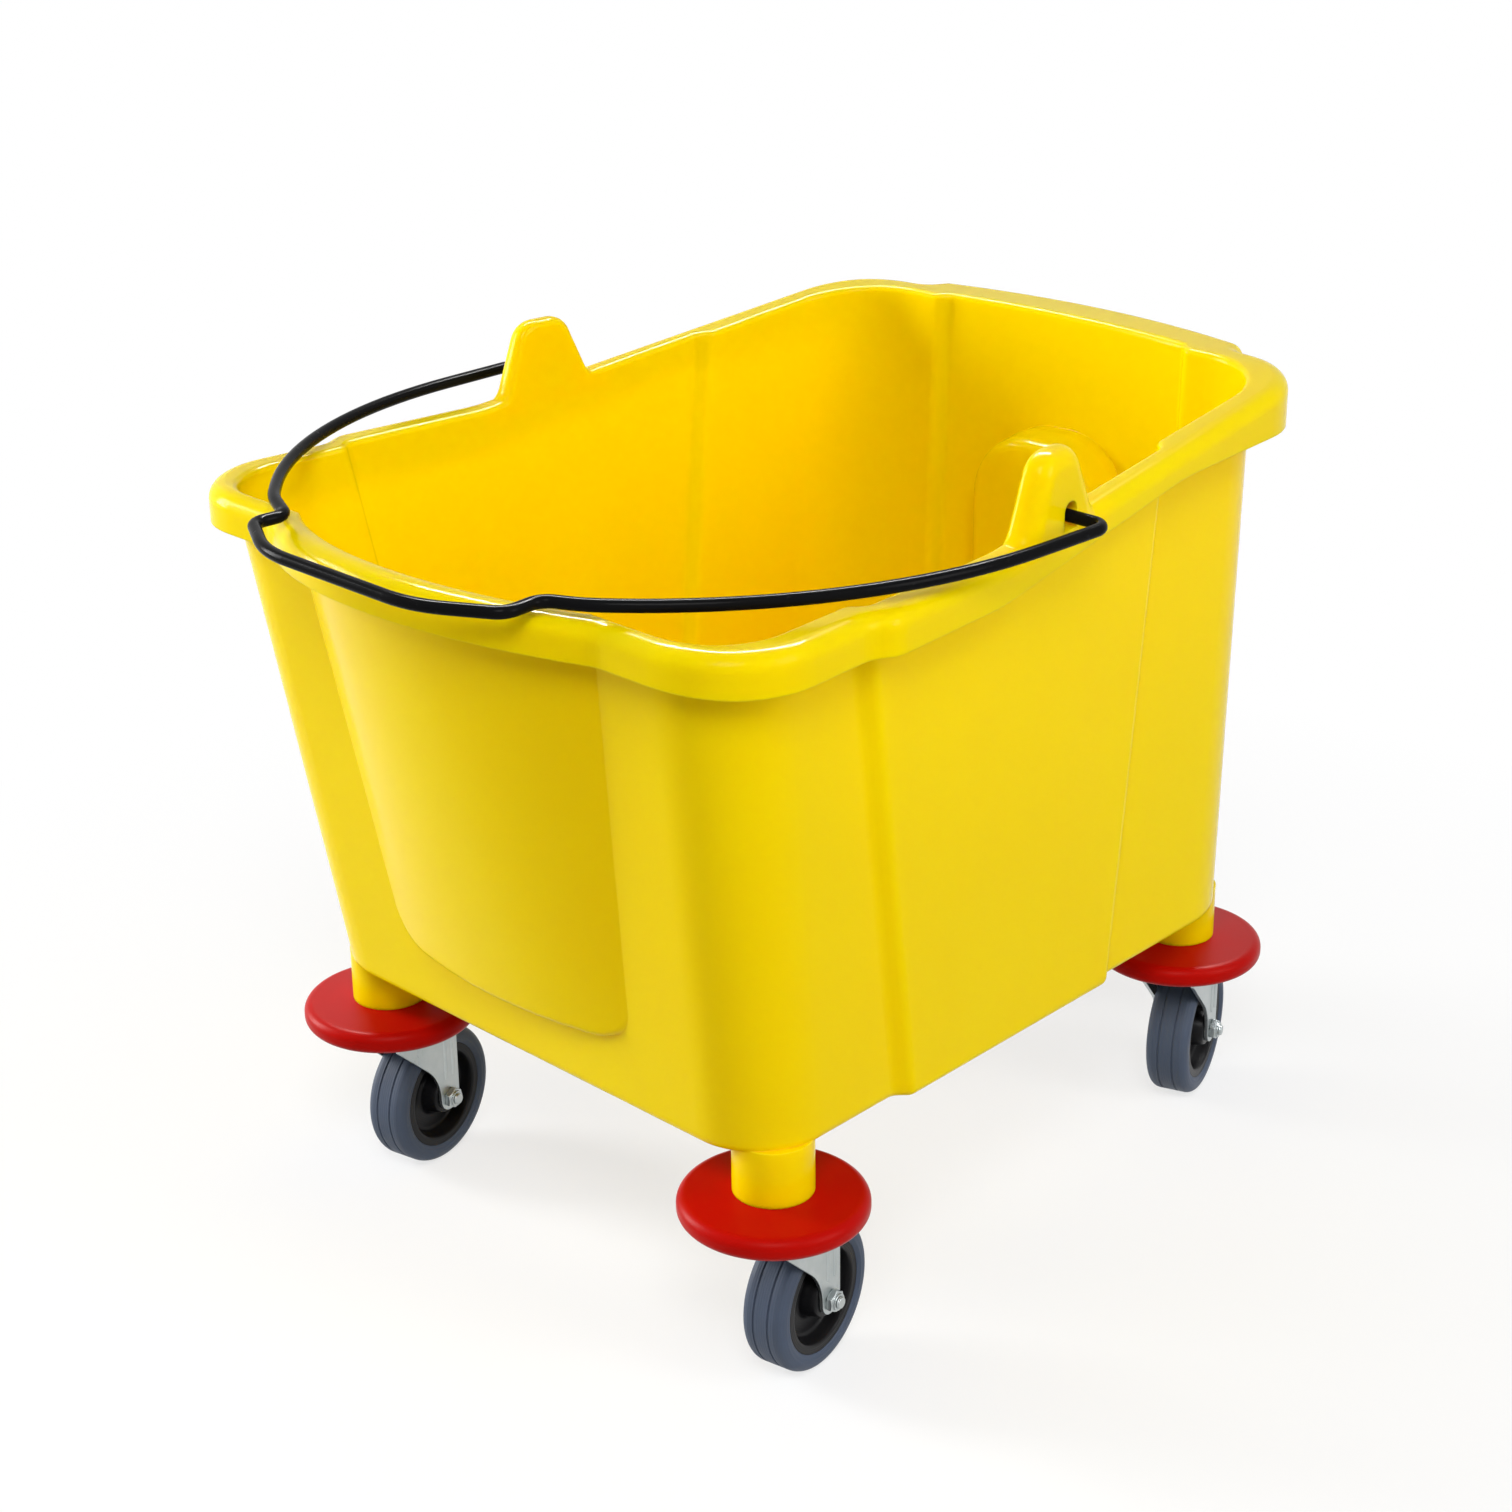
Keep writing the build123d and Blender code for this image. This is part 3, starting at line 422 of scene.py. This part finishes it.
def paint_nodes():
    """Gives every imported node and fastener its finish."""
    tub = moulded_plastic("tub_plastic", **TUB)
    bumper = moulded_plastic("bumper_plastic", **BUMPER)
    socket = moulded_plastic("socket_plastic", **SOCKET)
    zinc = zinc_plate()
    balls = ball_steel()
    cover(NODES["bucket_body"], tub)
    cover(NODES["bail_handle"], bail_paint())
    for corner in CORNERS:
        cover(NODES[corner + "_bumper"], bumper)
        cover(NODES[corner + "_stem_socket"], socket)
        cover(NODES[corner + "_bearing_balls"], balls)
        cover(NODES[corner + "_wheel_hub"], hub_plastic(corner))
        cover(NODES[corner + "_tyre"], tyre_rubber(corner))
        for steel in ("stem", "fork", "axle_sleeve", "axle_bolt", "axle_nut"):
            cover(NODES[f"{corner}_{steel}"], zinc)
        axle_fasteners(corner, zinc)


def cover(piece, finish):
    """Puts one finish on every material slot of a piece."""
    if not piece.material_slots:
        piece.data.materials.append(finish)
    for place in piece.material_slots:
        place.material = finish


def axle_points(corner, node):
    """A node's corners in its axle's own frame: place along, distance from it, and the way across to it."""
    spin = JOINTS[corner + "_spin"]
    mesh = NODES[f"{corner}_{node}"].data
    flat = np.empty(3 * len(mesh.vertices))
    mesh.vertices.foreach_get("co", flat)
    away = flat.reshape(-1, 3) - np.array(spin["pos_m"])
    along = away @ np.array(spin["axis"])
    across = away - along[:, None] * np.array(spin["axis"])
    return along, np.linalg.norm(across, axis=1), across


def hexagon_reach(flat_half, first_corner):
    """Distance from the middle to a hexagon's edge all the way round.

    It is half the width across flats over the cosine of the angle from the nearest flat's middle.
    """
    sixth = math.pi / 3
    from_flat = np.mod(ROUND_ANGLES - first_corner, sixth) - sixth / 2
    return flat_half / np.cos(from_flat)


def ring_surface(radius, along):
    """Points round the axle from arrays of distance and place along, one ring of the profile."""
    return np.stack([along, radius * np.cos(ROUND_ANGLES), radius * np.sin(ROUND_ANGLES)], axis=-1)


def ring_grid(rows):
    """Grid of rings from (distance, place along) pairs, each a number or an array round the axle."""
    level = np.ones(AROUND)
    return np.stack([ring_surface(radius * level, along * level) for radius, along in rows])


def hexagon_profile(flat_half, first_corner, low, high, collar_top, bore):
    """Hexagon with cone-cut ends: each side ends lower by the slope times how far it stands past the flats.

    Past the cut comes a round collar, and a bore runs back to the start where one is given.
    """
    reach = hexagon_reach(flat_half, first_corner)
    flat = FLAT_SHARE * flat_half
    cut = (reach - flat) * CHAMFER_SLOPE
    collar = COLLAR_WIDTH * flat_half
    ease = COLLAR_EASE * (collar_top - high) if collar_top > high else 0.0
    return ring_grid([
        (bore, low),
        (flat, low),
        (reach, low + cut),
        (reach, high - cut),
        (flat, high),
        (collar, high),
        (collar, collar_top - ease),
        (collar - ease, collar_top),
        (bore, collar_top),
        (bore, low),
    ])


def thread_surface(crest, low, high):
    """Screw thread: the distance from the axle falls from the crest by a triangle wave of place less turn.

    The wave repeats once in each pitch, and the last half pitch tapers to the blunt end.
    """
    steps = 1 + int(round((high - low) / THREAD_PITCH * THREAD_STEPS))
    along = np.linspace(low, high, steps)[:, None] * np.ones(AROUND)
    phase = np.mod(along / THREAD_PITCH - ROUND_ANGLES / math.tau, 1.0)
    taper = np.clip((along - (high - THREAD_PITCH / 2)) / (THREAD_PITCH / 2), 0.0, 1.0)
    radius = crest - THREAD_DEPTH * np.maximum(np.abs(2 * phase - 1), taper)
    closed_radius = np.concatenate([0 * radius[:1], radius, 0 * radius[:1]])
    closed_along = np.concatenate([along[:1], along, along[-1:]])
    return ring_grid(zip(closed_radius, closed_along))


def solid_round(radius, low, high):
    """Plain round bar between two places along the axle, closed at both ends."""
    return ring_grid([(0.0, low), (radius, low), (radius, high), (0.0, high)])


def axle_piece(name, corner, grids, finish):
    """Joins grids of rings into one piece, carried from the axle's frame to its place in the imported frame."""
    spin = JOINTS[corner + "_spin"]
    axis = np.array(spin["axis"])
    side = np.array([-axis[1], axis[0], 0.0])
    up = np.array([0.0, 0.0, 1.0])
    points = []
    faces = []
    start = 0
    for grid in grids:
        rows, count = grid.shape[:2]
        points.append(grid.reshape(-1, 3))
        row, column = np.meshgrid(np.arange(rows - 1), np.arange(count), indexing="ij")
        here = row * count
        after = (column + 1) % count
        quads = np.stack([here + column, here + after, here + count + after, here + count + column], axis=-1)
        faces.append(quads.reshape(-1, 4) + start)
        start += rows * count
    local = np.concatenate(points)
    placed = np.array(spin["pos_m"]) + local[:, :1] * axis + local[:, 1:2] * side + local[:, 2:] * up
    mesh = bpy.data.meshes.new(name)
    mesh.from_pydata(placed.tolist(), [], np.concatenate(faces).tolist())
    work = bmesh.new()
    work.from_mesh(mesh)
    bmesh.ops.remove_doubles(work, verts=work.verts, dist=MERGE_GAP)
    bmesh.ops.recalc_face_normals(work, faces=work.faces)
    work.to_mesh(mesh)
    work.free()
    piece = bpy.data.objects.new(name, mesh)
    bpy.context.scene.collection.objects.link(piece)
    mesh.materials.append(finish)
    mesh.shade_smooth()
    mesh.set_sharp_from_angle(angle=CREASE)
    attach(piece, corner + "_yoke")
    return piece


def axle_fasteners(corner, finish):
    """The axle's hexagon bolt with a cut thread and its locking nut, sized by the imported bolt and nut."""
    nut_along, nut_reach, nut_across = axle_points(corner, "axle_nut")
    nut_low, nut_high = nut_along.min(), nut_along.max()
    far = nut_across[np.argmax(nut_reach)]
    spin_axis = JOINTS[corner + "_spin"]["axis"]
    first_corner = math.atan2(far[2], far[1] * spin_axis[0] - far[0] * spin_axis[1])
    to_flat = math.cos(math.pi / 6)
    bolt_along, bolt_reach, _ = axle_points(corner, "axle_bolt")
    shank = bolt_reach[bolt_along > nut_high].max()
    head_low, bolt_end = bolt_along.min(), bolt_along.max()
    head_high = bolt_along[bolt_reach > PAST_SHANK * shank].max()
    collar_from = nut_high - COLLAR_SHARE * (nut_high - nut_low)
    nut = hexagon_profile(nut_reach.max() * to_flat, first_corner, nut_low, collar_from, nut_high, shank)
    piece = axle_piece(corner + "_locknut", corner, [nut], finish)
    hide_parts(corner + "_axle_nut")
    head = hexagon_profile(bolt_reach.max() * to_flat, first_corner, head_low, head_high, head_high, 0.0)
    thread_from = nut_low + THREAD_PITCH
    bar = solid_round(shank - THREAD_DEPTH / 2, head_high, thread_from)
    thread = thread_surface(shank, thread_from, bolt_end)
    piece = axle_piece(corner + "_hex_bolt", corner, [head, bar, thread], finish)
    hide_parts(corner + "_axle_bolt")


def stem_middle():
    """Floor point midway between the four caster stems."""
    boxes = [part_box(corner + "_stem") for corner in CORNERS]
    return Vector([sum(low[i] + high[i] for low, high in boxes) / 8 for i in range(2)] + [0.0])


def photo_camera():
    """Camera at the photograph's place, turned by yaw, pitch and roll."""
    ahead = Vector((
        -math.sin(CAMERA_YAW) * math.cos(CAMERA_PITCH),
        math.cos(CAMERA_YAW) * math.cos(CAMERA_PITCH),
        math.sin(CAMERA_PITCH),
    ))
    level = Vector((math.cos(CAMERA_YAW), math.sin(CAMERA_YAW), 0.0))
    upright = level.cross(ahead)
    right = math.cos(CAMERA_ROLL) * level + math.sin(CAMERA_ROLL) * upright
    up = math.cos(CAMERA_ROLL) * upright - math.sin(CAMERA_ROLL) * level
    data = bpy.data.cameras.new("photo_camera")
    data.sensor_width = SENSOR_WIDTH
    data.lens = FOCAL_PIXELS / IMAGE_SIZE * SENSOR_WIDTH
    camera = bpy.data.objects.new("photo_camera", data)
    bpy.context.scene.collection.objects.link(camera)
    turned = Matrix((right, up, -ahead)).transposed().to_4x4()
    camera.matrix_world = Matrix.Translation(stem_middle() + Vector(CAMERA_PLACE)) @ turned
    bpy.context.scene.camera = camera


def soft_box(name, place, width, height, watts):
    """Rectangular soft box aimed at the tub's middle."""
    data = bpy.data.lights.new(name, "AREA")
    data.shape = "RECTANGLE"
    data.size = width
    data.size_y = height
    data.energy = watts
    lamp = bpy.data.objects.new(name, data)
    bpy.context.scene.collection.objects.link(lamp)
    lamp.location = place
    aim = Vector((0.0, 0.0, AIM_HEIGHT)) - Vector(place)
    lamp.rotation_euler = aim.to_track_quat("-Z", "Y").to_euler()
    return lamp


def seen_share(tree):
    """One for rays that show a surface to the camera, straight or by reflection, and zero for its light."""
    ray = tree.nodes.new("ShaderNodeLightPath")
    seen = calc(tree, "MAXIMUM", ray.outputs["Is Camera Ray"], ray.outputs["Is Glossy Ray"])
    return calc(tree, "MAXIMUM", seen, ray.outputs["Is Transmission Ray"])


def white_room():
    """Even ambient light, seen as plain white by the camera and in reflections."""
    world = bpy.data.worlds.new("white_room")
    world.use_nodes = True
    tree = world.node_tree
    tree.nodes.clear()
    seen = seen_share(tree)
    light = put(tree, "Background", {"Color": WHITE, "Strength": AMBIENT})
    white = put(tree, "Background", {"Color": WHITE, "Strength": 1.0})
    mixed = put(tree, "MixShader", {0: seen, 1: light, 2: white})
    surface = tree.nodes.new("ShaderNodeOutputWorld")
    tree.links.new(mixed, surface.inputs["Surface"])
    bpy.context.scene.world = world


def studio_floor():
    """Pale floor that keeps the shadow near the bucket and turns to plain white further out."""
    half = FLOOR_SPAN / 2
    corners = [(-half, -half, 0), (half, -half, 0), (half, half, 0), (-half, half, 0)]
    mesh = bpy.data.meshes.new("studio_floor")
    mesh.from_pydata(corners, [], [(0, 1, 2, 3)])
    floor = bpy.data.objects.new("studio_floor", mesh)
    bpy.context.scene.collection.objects.link(floor)
    finish = bpy.data.materials.new("studio_floor")
    finish.use_nodes = True
    tree = finish.node_tree
    tree.nodes.clear()
    away = put(tree, "VectorMath", {0: object_place(tree)}, out=1, operation="LENGTH")
    far = spread(tree, away, FLOOR_NEAR, FLOOR_FAR, 1.0 - SHADOW_SHARE, 1.0)
    seen = seen_share(tree)
    far = calc(tree, "MULTIPLY", far, seen)
    matt = put(tree, "BsdfDiffuse", {"Color": blend_colour(tree, seen, FLOOR_BOUNCE, FLOOR_WHITE)})
    white = put(tree, "Emission", {"Color": WHITE, "Strength": 1.0})
    mixed = put(tree, "MixShader", {0: far, 1: matt, 2: white})
    surface = tree.nodes.new("ShaderNodeOutputMaterial")
    tree.links.new(mixed, surface.inputs["Surface"])
    mesh.materials.append(finish)


paint_nodes()
photo_camera()
for box_name, box_values in SOFT_BOXES.items():
    soft_box(box_name, *box_values)
soft_box("rim_strip", *RIM_STRIP).visible_diffuse = False
white_room()
studio_floor()
bpy.context.scene.view_settings.view_transform = "Standard"
